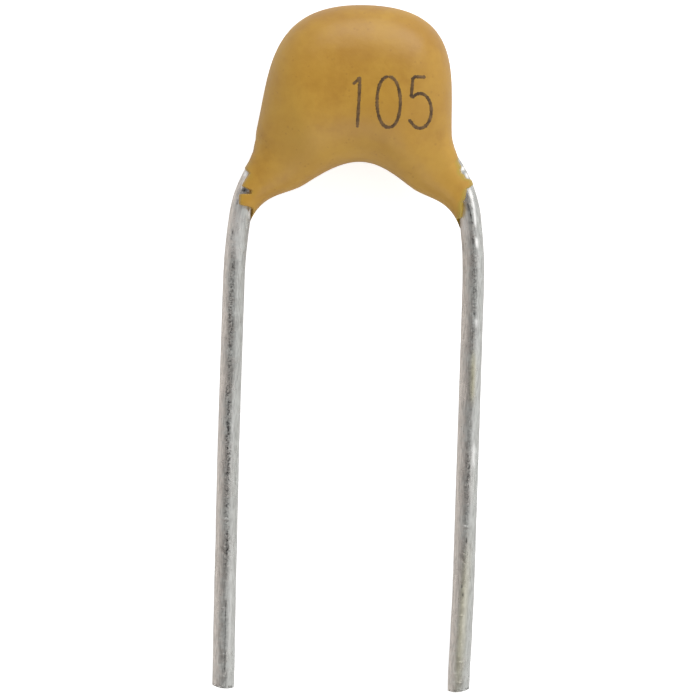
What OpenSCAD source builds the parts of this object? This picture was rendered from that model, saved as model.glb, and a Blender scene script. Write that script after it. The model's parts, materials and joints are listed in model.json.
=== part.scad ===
// Radial-lead multilayer ceramic capacitor, dip coated, modelled lying on its back.
//
// Each piece is first drawn flat in "assembly" coordinates: X runs across the leads, Y up
// the leads into the body, Z out through the front face, and Y = 0 is the seating line at
// the ends of the coated legs. rest() then tips the whole part about X until the crown of
// its back and the tips of both leads touch the ground plane Z = 0.
// Units are millimetres and degrees.

/* [Leads] */
// Distance between the centres of the two leads
lead_pitch = 5.08; // [4.7:0.02:6.5]
// Diameter of the tinned wire
lead_d = 0.48; // [0.4:0.01:0.6]
// Length of wire that hangs below the seating line
lead_len = 9.95; // [4:0.05:25]
// Length of wire soldered along each end of the chip
lead_lap = 1.2; // [0.8:0.05:1.35]
// Chamfer that the shear leaves on the wire's ends
lead_chamfer = 0.05; // [0.02:0.01:0.1]
// Centre-line radius of the bend beside the chip, where the wire turns outwards
shoulder_r = 0.8; // [0.5:0.05:1.2]
// Centre-line radius of the bend that turns the wire back down
elbow_r = 2.5; // [2:0.05:2.8]
// Centre-line radius of the gentle curve that spring-back leaves below that bend
spring_r = 12; // [8:0.5:16]
// Angle by which the wire flares outwards between the two bends
flare_angle = 36; // [30:0.5:38]
// Angle of the gentle curve
spring_angle = 7; // [4:0.5:9]

/* [Chip] */
// Length of the chip over its terminations, from lead to lead
chip_l = 2.5; // [2.2:0.05:2.7]
// Height of the chip, along the leads
chip_h = 2.0; // [1.8:0.05:2.4]
// Thickness of the chip, front to back
chip_t = 1.06; // [0.9:0.02:1.6]
// Height of the chip's lower face above the seating line
chip_rise = 1.95; // [1.8:0.05:2.4]
// Radius of the chip's tumbled edges
chip_round = 0.1; // [0.06:0.01:0.15]
// Width of the band that each termination wraps round the chip
term_wrap = 0.45; // [0.25:0.05:0.6]
// Thickness of the termination's metal
term_wall = 0.04; // [0.03:0.01:0.06]

/* [Plates] */
// Number of plates that each termination collects
plate_count = 12; // [4:1:20]
// Thickness of a plate
plate_t = 0.008; // [0.004:0.001:0.012]
// Ceramic left between a plate's edges and the chip's upper and lower faces
plate_margin = 0.2; // [0.15:0.01:0.4]
// Ceramic left between a plate's free end and the far termination
plate_end_gap = 0.3; // [0.2:0.01:0.5]
// Blank ceramic over the first plate and under the last
plate_cover = 0.12; // [0.08:0.01:0.25]

/* [Solder] */
// Thickness of solder between wire and termination
solder_film = 0.02; // [0.01:0.005:0.04]
// Radius of the hollow that the solder's surface draws between them
solder_fillet = 0.18; // [0.1:0.01:0.2]
// How much further the solder runs along the termination than along the wire, at each end
solder_creep = 0.15; // [0.05:0.01:0.2]

/* [Coat] */
// Coating over the chip's front and back faces
cover_face = 0.77; // [0.4:0.01:1]
// Coating over the chip's upper face, at the crown
cover_top = 0.65; // [0.45:0.01:1]
// Coating under the chip's lower face, at the top of the arch
cover_below = 0.66; // [0.4:0.01:0.75]
// Coating outside the wires, where the flank meets the flare
cover_side = 0.37; // [0.25:0.01:0.6]
// Height of the flank's foot above the seating line
flank_rise = 1.61; // [1.5:0.01:1.8]
// Angle by which the flank draws in as it leaves its foot
flank_angle = 11.6; // [6:0.1:16]
// Drop from the top of the arch to its haunches, where the coat turns down the wires
haunch_drop = 0.54; // [0.3:0.01:0.7]
// Distance by which the top of the arch lies off the middle, towards +X
arch_shift = 0.08; // [0:0.01:0.12]
// Sideways reach of each haunch
haunch_reach = 1.18; // [0.9:0.01:1.3]
// Slope of the arch at its haunches
haunch_angle = 32; // [20:1:45]
// Angle by which the dipped body leans over its leads, towards +X
coat_lean = 4; // [0:0.5:6]
// Skin left on the outer side of the flaring wire
skin = 0.03; // [0.02:0.005:0.08]
// Half thickness of the coat on its legs
leg_half_t = 0.36; // [0.3:0.01:0.5]
// Squareness of the coat's cross-section: 2 is an ellipse
pillow = 2.5; // [2:0.1:3.5]

/* [Hidden] */
$fn = 64;

LEFT = -1;
RIGHT = 1;

// Chip and plates
ceramic_l = chip_l - 2 * term_wall;
ceramic_h = chip_h - 2 * term_wall;
ceramic_t = chip_t - 2 * term_wall;
chip_mid_y = chip_rise + chip_h / 2;
plate_pitch = (ceramic_t - 2 * plate_cover - plate_t) / (2 * plate_count - 1);

// Lead: height of the soldered run's foot above the chip's lower face, x of that run, and
// the flare that carries the wire out to the pitch
lap_rise = 0.25;
lap_x = chip_l / 2 + solder_film + lead_d / 2;
lap_foot_y = chip_rise + lap_rise;
flare_run = (lead_pitch / 2 - lap_x
             - shoulder_r * (1 - cos(flare_angle))
             - elbow_r * (cos(spring_angle) - cos(flare_angle))
             - spring_r * (1 - cos(spring_angle))) / sin(flare_angle);
spring_foot_y = lap_foot_y - shoulder_r * sin(flare_angle) - flare_run * cos(flare_angle)
                - elbow_r * (sin(flare_angle) - sin(spring_angle)) - spring_r * sin(spring_angle);

// Each bend stops this far short of its joints, and a ball of the wire's own size, but for
// this factor, closes the gap
joint_gap = 0.01;
joint_swell = 1.004;

// How far a cutting block reaches past what it cuts
overshoot = 1;

// Solder: the fillet is limited by the flat of the termination
solder_half_max = chip_t / 2 - chip_round;
fillet_r = min(solder_fillet, (pow(solder_half_max, 2) / (lead_d + solder_film) + solder_film) / 2);
solder_half_w = sqrt((2 * fillet_r - solder_film) * (lead_d + solder_film));

// Coat: overall half thickness, height above which the legs thicken into the body, and the
// height above the chip's middle at which the leaning body stays where it was
body_half_t = chip_t / 2 + cover_face;
leg_top_y = 0.4;
lean_rise = 0.1;

// Coat's hem: the wire's heading where the web beside it runs out, the web's overlap with the
// wire, and the outer edge, which starts inside the wire's middle and reaches the full skin
// this share of the way up to the flare
hem_heading = 5.5;
web_inset = 0.03;
edge_inset = 0.06;
edge_share = 0.8;

// Coat's outline: handles of its cubics, and the slope at which the web leaves the hem
flank_handle = 1.28;
crown_spread = 0.16;
web_angle = 15.6;
web_handle = 0.81;
haunch_handle_below = 0.43;
haunch_handle_above = 0.32;
arch_handle = 0.49;

// Coat's mesh: drop from the hem to the hub that its cross-sections fan out from, how many
// there are, and how much wider they stand in angle on the legs, which lie nearer the hub
hub_drop = 0.12;
section_count = 68;
section_points = 40;
leg_spread = 0.22;
rail_steps = 24;

// ---------------------------------------------------------------- curves

// Point at t on the cubic through a and d with handles b and c
function bezier(a, b, c, d, t) =
    pow(1 - t, 3) * a + 3 * pow(1 - t, 2) * t * b + 3 * (1 - t) * t * t * c + pow(t, 3) * d;

function bezier_run(a, b, c, d) = [for (i = [0 : rail_steps]) bezier(a, b, c, d, i / rail_steps)];

// Smooth step from 0 at a to 1 at b
function ease(a, b, v) = let (u = max(0, min(1, (v - a) / (b - a)))) u * u * (3 - 2 * u);

// Centre-line of the right lead at heading h below the shoulder: first the shoulder bend,
// where the heading grows to the flare angle, then the elbow, where it falls again.
function shoulder_point(h) = [lap_x + shoulder_r * (1 - cos(h)), lap_foot_y - shoulder_r * sin(h)];
function elbow_point(h) =
    [lead_pitch / 2 - spring_r * (1 - cos(spring_angle)) - elbow_r * (cos(spring_angle) - cos(h)),
     spring_foot_y + spring_r * sin(spring_angle) + elbow_r * (sin(h) - sin(spring_angle))];
function spring_point(h) =
    [lead_pitch / 2 - spring_r * (1 - cos(h)), spring_foot_y + spring_r * sin(h)];

// ---------------------------------------------------------------- coat

// Where the web of coating along the inner side of the leg runs out
hem_point = spring_point(hem_heading);
hub = [0, hem_point.y - hub_drop];

// Outer rail of the right leg: from inside the wire at the hem it crosses to the wire's
// outer side, and from there it carries the skin up to the flank.
function leg_offset(h) = let (u = (h - hem_heading) / (flare_angle - hem_heading))
    -edge_inset + (lead_d / 2 + skin + edge_inset) * ease(0, edge_share, u);
function leg_outer(h) = let (p = h < spring_angle ? spring_point(h) : elbow_point(h))
    p + leg_offset(h) * [cos(h), sin(h)];

crown_y = chip_rise + chip_h + cover_top;
flank_foot = [lap_x + lead_d / 2 + cover_side, flank_rise];
outer_rail = concat(
    [for (i = [0 : rail_steps]) leg_outer(hem_heading + (flare_angle - hem_heading) * i / rail_steps)],
    bezier_run(flank_foot,
               flank_foot + flank_handle * [-sin(flank_angle), cos(flank_angle)],
               [flank_foot.x + crown_spread, crown_y],
               [0, crown_y]));

// Inner rail of one side, drawn as the right one: out of the web beside the leg, over the
// haunch and up to the top of the arch. The haunches follow the arch's shift half way.
arch_y = chip_rise - cover_below;
haunch_way = [cos(haunch_angle), -sin(haunch_angle)];
web_foot = hem_point + [web_inset - lead_d / 2, 0];
function inner_rail(side) =
    let (top_x = side * arch_shift,
         haunch = [haunch_reach + top_x / 2, arch_y - haunch_drop])
    concat(
        bezier_run(web_foot, web_foot + web_handle * [-sin(web_angle), cos(web_angle)],
                   haunch + haunch_handle_below * haunch_way, haunch),
        bezier_run(haunch, haunch - haunch_handle_above * haunch_way,
                   [top_x + arch_handle, arch_y], [top_x, arch_y]));

// Both rails as tables of angle and radius about the hub, the right half before the left
function polar(p, side) = let (q = p - hub, a = atan2(q.y, q.x)) [side == LEFT ? 180 - a : a, norm(q)];
function polar_table(right_half, left_half) =
    concat([for (p = right_half) polar(p, RIGHT)], [for (p = left_half) polar(p, LEFT)]);
outer_table = polar_table(outer_rail, outer_rail);
inner_table = polar_table(inner_rail(RIGHT), inner_rail(LEFT));

// Angle of a section: on the legs, which lie nearer the hub, they stand further apart in
// angle, and so about as far apart along the coat as on the body
first_angle = max(outer_table[0][0], inner_table[0][0]);
function section_angle(i) = let (u = 2 * i / section_count - 1)
    90 + (90 - first_angle) * ((1 - leg_spread) * u + leg_spread * pow(u, 3));

// One cross-section: a superellipse between the rails, standing in a plane through the hub.
// The body leans by shearing it over its legs.
function lean_shift(y) = tan(coat_lean) * (y - chip_mid_y - lean_rise) * ease(arch_y, chip_rise, y);
function power_of(v, e) = sign(v) * pow(abs(v), e);
function section(a) =
    let (r_in = lookup(a, inner_table),
         r_out = lookup(a, outer_table),
         half_w = (r_out - r_in) / 2,
         mid_y = hub.y + (r_in + half_w) * sin(a),
         half_t = leg_half_t + (body_half_t - leg_half_t) * ease(leg_top_y, chip_mid_y, mid_y))
    [for (k = [0 : section_points - 1])
        let (s = 360 * k / section_points,
             r = r_in + half_w * (1 + power_of(cos(s), 2 / pillow)),
             y = hub.y + r * sin(a))
        [r * cos(a) + lean_shift(y), y, half_t * power_of(sin(s), 2 / pillow)]];

sections = [for (i = [section_count : -1 : 0]) section(section_angle(i))];
coat_points = [for (ring = sections) each ring];
coat_faces = concat(
    [[for (k = [0 : section_points - 1]) k]],
    [[for (k = [section_points - 1 : -1 : 0]) section_count * section_points + k]],
    [for (i = [0 : section_count - 1], k = [0 : section_points - 1])
        let (a = i * section_points, b = a + section_points, n = (k + 1) % section_points)
        each [[a + k, b + k, b + n], [a + k, b + n, a + n]]]);

// ---------------------------------------------------------------- rest

// Height of the lowest point of a list, and of the wire's tip, once tipped by angle a
function lowest(points, a) = min([for (p = points) p.y * sin(a) + p.z * cos(a)]);
tip_points = [[0, -lead_len, lead_chamfer - lead_d / 2], [0, lead_chamfer - lead_len, -lead_d / 2]];

// Bisection for the angle at which the back and the tips touch the ground together
function settle(lo, hi, n) = let (mid = (lo + hi) / 2)
    n == 0 ? mid
    : lowest(coat_points, mid) < lowest(tip_points, mid) ? settle(mid, hi, n - 1)
    : settle(lo, mid, n - 1);
steepest_rest = 45;
rest_rounds = 30;
rest_angle = settle(0, steepest_rest, rest_rounds);
rest_lift = -lowest(tip_points, rest_angle);
rest_top_y = max([for (p = coat_points) p.y * cos(rest_angle) - p.z * sin(rest_angle)]);
rest_tip_y = -lead_len * cos(rest_angle) - (lead_d / 2 - lead_chamfer) * sin(rest_angle);

// Moves a piece from assembly coordinates to where it lies at rest
module rest() {
    translate([0, -(rest_top_y + rest_tip_y) / 2, rest_lift]) rotate([rest_angle, 0, 0]) children();
}

module on_side(side) {
    if (side == LEFT) mirror([1, 0, 0]) children();
    else children();
}

// ---------------------------------------------------------------- pieces

// A block with every edge rounded, centred on the origin
module tumbled_block(l, h, t, r) {
    intersection() {
        linear_extrude(t, center = true) rounded_rectangle(l, h, r);
        rotate([90, 0, 0]) linear_extrude(h, center = true) rounded_rectangle(l, t, r);
        rotate([90, 0, 90]) linear_extrude(l, center = true) rounded_rectangle(h, t, r);
    }
}

module rounded_rectangle(w, h, r) {
    square([w - 2 * r, h], center = true);
    square([w, h - 2 * r], center = true);
    for (x = [-1, 1], y = [-1, 1])
        translate([x * (w / 2 - r), y * (h / 2 - r)]) circle(r);
}

// The whole chip with its terminations, for the pieces that fit round it
module chip_envelope() {
    translate([0, chip_mid_y, 0]) tumbled_block(chip_l, chip_h, chip_t, chip_round);
}

// Fired ceramic, without the space that its plates take
module ceramic_body() {
    translate([0, chip_mid_y, 0])
        tumbled_block(ceramic_l, ceramic_h, ceramic_t, chip_round - term_wall);
}

// One plate: it starts at its own termination and stops short of the other
module plate_blank(side, i) {
    level = 2 * (i - 1) + (side == RIGHT ? 1 : 0);
    on_side(side)
        translate([plate_end_gap - ceramic_l / 2, chip_rise + term_wall + plate_margin,
                   plate_cover + level * plate_pitch - ceramic_t / 2])
            cube([ceramic_l - plate_end_gap, ceramic_h - 2 * plate_margin, plate_t]);
}

module plate(side, i) {
    color("#8e9296") rest() plate_blank(side, i);
}

module ceramic_chip() {
    color("#b9a78c") rest()
        difference() {
            ceramic_body();
            for (i = [1 : plate_count]) {
                plate_blank(LEFT, i);
                plate_blank(RIGHT, i);
            }
        }
}

// A cup of metal over one end of the chip
module termination(side) {
    color("#c4c6c8") rest() on_side(side)
        difference() {
            intersection() {
                chip_envelope();
                translate([chip_l / 2 - term_wrap, chip_rise - overshoot, -chip_t / 2 - overshoot])
                    cube([term_wrap + overshoot, chip_h + 2 * overshoot, chip_t + 2 * overshoot]);
            }
            ceramic_body();
        }
}

// One bend of the right lead: an arc of wire in the XY plane about a centre, starting at
// angle a0 and running through angle sweep. It stops short of its neighbours at both ends.
module bend(centre, r, a0, sweep) {
    short = joint_gap / r * 180 / PI;
    translate([centre.x, centre.y, 0]) rotate([0, 0, a0 + short])
        rotate_extrude(angle = sweep - 2 * short) translate([r, 0]) circle(d = lead_d);
}

// Straight wire from point a for a length, along heading h measured from -Y towards +X
module straight(a, h, length) {
    translate([a.x, a.y, 0]) rotate([0, 0, h]) rotate([90, 0, 0]) cylinder(d = lead_d, h = length);
}

// A ball that closes the gap between two stretches of wire, all but flush with both. Its
// poles lie on the wire's axis, which has heading h there.
module joint(a, h) {
    translate([a.x, a.y, 0]) rotate([0, 0, h]) rotate([90, 0, 0]) sphere(d = lead_d * joint_swell);
}

// A sheared end: the wire's last stretch, narrowing by the chamfer
module sheared_end(a, way) {
    translate([a.x, a.y, 0]) rotate([way * 90, 0, 0])
        cylinder(d1 = lead_d, d2 = lead_d - 2 * lead_chamfer, h = lead_chamfer);
}

// The right lead in assembly coordinates, from its soldered end down to its tip
module lead_wire() {
    lap_top = [lap_x, lap_foot_y + lead_lap];
    lap_foot = [lap_x, lap_foot_y];
    spring_foot = [lead_pitch / 2, spring_foot_y];
    tip = [lead_pitch / 2, lead_chamfer - lead_len];
    sheared_end(lap_top, -1);
    straight(lap_top, 0, lead_lap);
    bend([lap_x + shoulder_r, lap_foot_y], shoulder_r, 180, flare_angle);
    straight(shoulder_point(flare_angle), flare_angle, flare_run);
    bend(elbow_point(flare_angle) - elbow_r * [cos(flare_angle), sin(flare_angle)],
         elbow_r, spring_angle, flare_angle - spring_angle);
    bend(spring_foot - [spring_r, 0], spring_r, 0, spring_angle);
    straight(spring_foot, 0, spring_foot.y - tip.y);
    sheared_end(tip, 1);
    joint(lap_foot, 0);
    joint(shoulder_point(flare_angle), flare_angle);
    joint(elbow_point(flare_angle), flare_angle);
    joint(elbow_point(spring_angle), spring_angle);
    joint(spring_foot, 0);
}

module lead(side) {
    color("#a9a8a4") rest() on_side(side) lead_wire();
}

// Solder between the right lead and its termination: the gap between them, hollowed by
// the meniscus on both sides and creeping further along the termination than the wire
module solder_fill() {
    face_x = chip_l / 2;
    foot = lap_foot_y + solder_creep;
    top = lap_foot_y + lead_lap - solder_creep;
    difference() {
        intersection() {
            translate([0, top + solder_creep, 0]) rotate([90, 0, 0])
                linear_extrude(top - foot + 2 * solder_creep) solder_section(face_x);
            linear_extrude(2 * solder_half_w, center = true)
                polygon([[face_x, foot - solder_creep], [lap_x, foot],
                         [lap_x, top], [face_x, top + solder_creep]]);
        }
        lead_wire();
    }
}

module solder_section(face_x) {
    difference() {
        polygon([[face_x, -solder_half_w], [face_x + fillet_r, -solder_half_w], [lap_x, 0],
                 [face_x + fillet_r, solder_half_w], [face_x, solder_half_w]]);
        for (z = [-1, 1]) translate([face_x + fillet_r, z * solder_half_w]) circle(fillet_r);
    }
}

module solder(side) {
    color("#9b9da0") rest() on_side(side) solder_fill();
}

// The dip coat: the lofted skin, less everything that it was cured around
module epoxy_coating() {
    color("#b89240") rest()
        difference() {
            polyhedron(coat_points, coat_faces, convexity = 6);
            chip_envelope();
            for (side = [LEFT, RIGHT]) on_side(side) {
                lead_wire();
                solder_fill();
            }
        }
}

epoxy_coating();
ceramic_chip();
termination(LEFT);  // left_termination
termination(RIGHT);  // right_termination
solder(LEFT);  // left_solder
solder(RIGHT);  // right_solder
lead(LEFT);  // left_lead
lead(RIGHT);  // right_lead
for (i = [1 : plate_count]) {
    plate(LEFT, i);
    plate(RIGHT, i);
}
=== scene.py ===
"""Looks of a radial-lead multilayer ceramic capacitor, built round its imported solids.

The part is drawn in its own plane, in millimetres: x runs across the leads, y up the leads into
the body and z out of the front face, and y = 0 is the seating line at the ends of the coated
legs. Seat carries that drawing into the row frame, where the part lies on its back. Angles that
a class holds are in degrees.
"""

from __future__ import annotations

import json
import logging
import math
from dataclasses import dataclass
from enum import Enum
from functools import cached_property
from typing import Any

import bpy
import numpy as np
from mathutils import Matrix, Vector


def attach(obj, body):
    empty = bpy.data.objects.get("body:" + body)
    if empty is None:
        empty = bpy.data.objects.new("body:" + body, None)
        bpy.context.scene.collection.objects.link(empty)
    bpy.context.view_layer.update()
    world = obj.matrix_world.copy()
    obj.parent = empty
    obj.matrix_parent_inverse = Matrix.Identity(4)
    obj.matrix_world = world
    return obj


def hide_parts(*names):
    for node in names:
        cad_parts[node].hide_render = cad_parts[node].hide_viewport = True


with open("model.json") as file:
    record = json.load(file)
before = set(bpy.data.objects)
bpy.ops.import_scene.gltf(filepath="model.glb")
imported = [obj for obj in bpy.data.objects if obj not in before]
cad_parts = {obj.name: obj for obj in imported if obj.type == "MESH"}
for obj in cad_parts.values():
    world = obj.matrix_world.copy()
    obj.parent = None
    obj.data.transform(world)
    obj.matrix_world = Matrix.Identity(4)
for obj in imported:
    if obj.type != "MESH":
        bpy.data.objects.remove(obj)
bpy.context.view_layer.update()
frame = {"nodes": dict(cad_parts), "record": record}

MM = 0.001
Array = np.ndarray
Socket = bpy.types.NodeSocket
Pair = tuple[float, float]
Triple = tuple[float, float, float]
Colour = Triple

log = logging.getLogger("capacitor")


class Side(Enum):
    """One side of the part, with the sign of its x."""

    LEFT = -1
    RIGHT = 1

    @property
    def word(self) -> str:
        """The side's name as the nodes spell it."""
        return self.name.lower()


class Slot(Enum):
    """The finishes that the record names."""

    COATING = "coating"
    CERAMIC = "ceramic"
    TERMINATION = "termination"
    SOLDER = "solder"
    WIRE = "wire"
    PLATE = "plate"


# ---------------------------------------------------------------- curves


def ease(start: float, end: float, value: Array | float) -> Array:
    """Smooth step: 3u^2 - 2u^3, with u running from 0 at start to 1 at end.

    Args:
        start: value at which the step begins.
        end: value at which it is complete.
        value: where it is read.

    Returns:
        The step's height, from 0 to 1.
    """
    u = np.clip((np.asarray(value, float) - start) / (end - start), 0.0, 1.0)
    return u * u * (3 - 2 * u)


def eased_stops(stops: tuple[Pair, ...], value: Array | float) -> Array:
    """Runs through stops with a smooth step between each and the next.

    Args:
        stops: places, ascending, each with the height there.
        value: where it is read.

    Returns:
        The height: that of the first stop, plus each rise times its ease.
    """
    total = stops[0][1] + 0 * np.asarray(value, float)
    for (start, low), (end, high) in zip(stops[:-1], stops[1:]):
        total = total + (high - low) * ease(start, end, value)
    return total


def cubic(points: list[Pair] | Array, count: int) -> Array:
    """Samples the cubic (1-t)^3 a + 3(1-t)^2 t b + 3(1-t) t^2 c + t^3 d.

    Args:
        points: the curve's two ends with its two handles between them.
        count: how many samples, both ends included.

    Returns:
        Points on the curve, one per row.
    """
    a, b, c, d = (np.asarray(p, float) for p in points)
    t = np.linspace(0.0, 1.0, count)[:, None]
    return (1 - t) ** 3 * a + 3 * (1 - t) ** 2 * t * b + 3 * (1 - t) * t**2 * c + t**3 * d


def signed_power(value: Array, exponent: float) -> Array:
    """|value| to the exponent, with value's sign."""
    return np.sign(value) * np.abs(value) ** exponent


def ripple(x: Array, y: Array, wave: float, seed: int, waves: int = 7) -> Array:
    """A soft unevenness: plane sine waves, in directions spread by the golden angle, added up.

    Args:
        x: first coordinate, in millimetres.
        y: second coordinate, in millimetres.
        wave: typical wavelength, in millimetres.
        seed: shifts the phases, so that two surfaces differ.
        waves: how many waves are added.

    Returns:
        Their sum over the square root of how many they are: heights from about -1 to 1.
    """
    golden = math.pi * (3 - math.sqrt(5))
    shortest, spread, phase_step = 0.7, 0.6, 2.3
    total = np.zeros(np.broadcast(x, y).shape)
    for k in range(1, waves + 1):
        way = golden * (k + seed)
        pitch = 2 * math.pi / (wave * (shortest + spread * k / waves))
        phase = phase_step * k * (seed + 1)
        total += np.sin(pitch * (x * math.cos(way) + y * math.sin(way)) + phase)
    return total / math.sqrt(waves)


def distance_along(path: Array) -> Array:
    """Distance travelled along a path at each of its points."""
    steps = np.linalg.norm(np.diff(path, axis=0), axis=1)
    return np.concatenate([[0.0], np.cumsum(steps)])


# ---------------------------------------------------------------- place


@dataclass(frozen=True)
class Seat:
    """Where the drawing lies in the row frame: turned about x by tilt, then moved."""

    tilt: float
    shift: float
    lift: float

    @classmethod
    def from_pin(cls, pin: dict[str, Any], pin_y: float) -> Seat:
        """Reads the seat from a lead's mount.

        Args:
            pin: the record's mount: the middle of the straight wire, and the way it points.
            pin_y: y of that same point in the drawing, in millimetres.
        """
        _, axis_y, axis_z = pin["axis"]
        tilt = math.atan2(-axis_z, -axis_y)
        _, y, z = (v / MM for v in pin["pos_m"])
        return cls(tilt, y - pin_y * math.cos(tilt), z - pin_y * math.sin(tilt))

    def place(self, points: Array) -> Array:
        """Carries drawing points into the row frame.

        Args:
            points: x, y, z in millimetres in the last axis.

        Returns:
            The same points in metres in the row frame.
        """
        x, y, z = np.moveaxis(np.asarray(points, float), -1, 0)
        c, s = math.cos(self.tilt), math.sin(self.tilt)
        return np.stack([x, y * c - z * s + self.shift, y * s + z * c + self.lift], -1) * MM

    def direction(self, x: float, y: float, z: float) -> Vector:
        """A drawing direction as a vector of the row frame."""
        c, s = math.cos(self.tilt), math.sin(self.tilt)
        return Vector((x, y * c - z * s, y * s + z * c))


# ---------------------------------------------------------------- meshes


def make_piece(
    name: str, vertices: Array, faces: list[Array], smooth: bool = True
) -> bpy.types.Object:
    """Puts arrays into a mesh object at the origin.

    Args:
        name: the piece's name.
        vertices: places in metres, one per row.
        faces: blocks of faces; each block is an array with one face per row.
        smooth: whether the faces are shaded smooth.

    Returns:
        The new object, linked to the scene.
    """
    mesh = bpy.data.meshes.new(name)
    sizes = np.concatenate([np.full(len(block), block.shape[1]) for block in faces])
    corners = np.concatenate([block.reshape(-1) for block in faces])
    mesh.vertices.add(len(vertices))
    mesh.vertices.foreach_set("co", np.ascontiguousarray(vertices, np.float32).ravel())
    mesh.loops.add(len(corners))
    mesh.loops.foreach_set("vertex_index", corners.astype(np.int32))
    mesh.polygons.add(len(sizes))
    starts = np.concatenate([[0], np.cumsum(sizes)[:-1]])
    mesh.polygons.foreach_set("loop_start", starts.astype(np.int32))
    mesh.polygons.foreach_set("use_smooth", np.full(len(sizes), smooth))
    mesh.update(calc_edges=True)
    mesh.validate()
    piece = bpy.data.objects.new(name, mesh)
    bpy.context.scene.collection.objects.link(piece)
    return piece


def tube_piece(name: str, tubes: list[Array], seat: Seat) -> bpy.types.Object:
    """Closed tubes in one mesh: rings joined by quads, and a fan to a middle vertex at each end.

    Rings drawn anticlockwise about the direction of travel give faces that look outwards.

    Args:
        name: the piece's name.
        tubes: places in millimetres for each tube, as rings x vertices x 3.
        seat: carries the drawing into the row frame.

    Returns:
        The new object.
    """
    vertices, faces, base = [], [], 0
    for rings in tubes:
        rows, columns, _ = rings.shape
        k = np.arange(columns)
        n = (k + 1) % columns
        i = base + np.arange(rows - 1)[:, None] * columns
        last, middle = base + (rows - 1) * columns, base + rows * columns
        faces.append(np.stack([i + k, i + n, i + columns + n, i + columns + k], -1).reshape(-1, 4))
        faces.append(np.stack([np.full(columns, middle), base + n, base + k], -1))
        faces.append(np.stack([np.full(columns, middle + 1), last + k, last + n], -1))
        vertices += [rings.reshape(-1, 3), rings[[0, -1]].mean(axis=1)]
        base = middle + 2
    return make_piece(name, seat.place(np.concatenate(vertices)), faces)


def add_attribute(piece: bpy.types.Object, name: str, values: Array) -> None:
    """Stores a number or a vector at each vertex, for a material to read.

    Args:
        piece: the mesh object.
        name: the attribute's name.
        values: rings x vertices, with a last axis of three for vectors; missing vertices,
            such as end middles, repeat the mean.
    """
    flat = values.reshape(-1, 3) if values.ndim == 3 else values.reshape(-1)
    short = len(piece.data.vertices) - len(flat)
    if short:
        flat = np.concatenate([flat, np.repeat(flat.mean(axis=0)[None], short, axis=0)])
    kind, key = ("FLOAT_VECTOR", "vector") if flat.ndim == 2 else ("FLOAT", "value")
    attribute = piece.data.attributes.new(name, kind, "POINT")
    attribute.data.foreach_set(key, flat.astype(np.float32).ravel())


def dress(piece: bpy.types.Object, material: bpy.types.Material, slot: Slot, *nodes: str) -> None:
    """Gives a new piece its finish, its body and the nodes that it stands for.

    Args:
        piece: the new piece.
        material: its finish.
        slot: the record's slot that the finish answers to; not used.
        nodes: CAD nodes that the piece replaces.
    """
    piece.data.materials.append(material)
    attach(piece, "root")
    if nodes:
        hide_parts(*nodes)
    log.info("%s: %d faces, %s", piece.name, len(piece.data.polygons), material.name)


# ---------------------------------------------------------------- leads


@dataclass(frozen=True)
class LeadForm:
    """Centre-line of the lead: soldered run, shoulder, flare, elbow, soft curve, straight."""

    pitch: float
    diameter: float
    length: float = 9.95
    lap: float = 1.2
    lap_x: float = 1.51
    lap_foot_y: float = 2.2
    shoulder_r: float = 0.8
    elbow_r: float = 2.5
    spring_r: float = 12.0
    flare_angle: float = 36.0
    spring_angle: float = 7.0
    shoulder_steps: int = 24
    bend_steps: int = 150

    @property
    def half_pitch(self) -> float:
        """x of the straight wire's centre."""
        return self.pitch / 2

    @property
    def flare_run(self) -> float:
        """Length of straight wire between the bends, which carries the wire out to the pitch."""
        flare, spring = math.radians(self.flare_angle), math.radians(self.spring_angle)
        bends = self.shoulder_r * (1 - math.cos(flare))
        bends += self.elbow_r * (math.cos(spring) - math.cos(flare))
        bends += self.spring_r * (1 - math.cos(spring))
        return (self.half_pitch - self.lap_x - bends) / math.sin(flare)

    @property
    def spring_foot_y(self) -> float:
        """y at which the wire comes straight."""
        flare, spring = math.radians(self.flare_angle), math.radians(self.spring_angle)
        drop = self.shoulder_r * math.sin(flare) + self.flare_run * math.cos(flare)
        drop += self.elbow_r * (math.sin(flare) - math.sin(spring))
        drop += self.spring_r * math.sin(spring)
        return self.lap_foot_y - drop

    def bend_point(self, heading: Array | float) -> Array:
        """Point of the centre-line in the lower bends, by its heading.

        Args:
            heading: degrees from straight down, from 0 to the flare angle.

        Returns:
            x and y in the last axis: foot + r (cos, sin) of each arc in turn.
        """
        heading = np.asarray(heading, float)
        h, spring = np.radians(heading), math.radians(self.spring_angle)
        soft = np.minimum(h, spring)
        tight = np.maximum(h, spring)
        x = self.half_pitch - self.spring_r * (1 - np.cos(soft))
        x = x - self.elbow_r * (math.cos(spring) - np.cos(tight))
        y = self.spring_foot_y + self.spring_r * np.sin(soft)
        y = y + self.elbow_r * (np.sin(tight) - math.sin(spring))
        return np.stack([x, y], -1)

    def centre_line(self, straight_steps: int) -> tuple[Array, Array]:
        """The whole centre-line of the right lead, from its soldered end to its tip.

        Args:
            straight_steps: how many samples the straight wire gets.

        Returns:
            Points, one x and y per row, and the heading at each in degrees.
        """
        turn = np.linspace(0.0, math.radians(self.flare_angle), self.shoulder_steps)
        shoulder_x = self.lap_x + self.shoulder_r * (1 - np.cos(turn))
        shoulder_y = self.lap_foot_y - self.shoulder_r * np.sin(turn)
        headings = np.linspace(self.flare_angle, 0.0, self.bend_steps)
        straight = np.linspace(self.spring_foot_y, -self.length, straight_steps)[1:]
        runs = [
            np.array([[self.lap_x, self.lap_foot_y + self.lap]]),
            np.stack([shoulder_x, shoulder_y], -1),
            self.bend_point(headings),
            np.stack([np.full(len(straight), self.half_pitch), straight], -1),
        ]
        turns = [np.zeros(1), np.degrees(turn), headings, np.zeros(len(straight))]
        return np.concatenate(runs), np.concatenate(turns)


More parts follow.
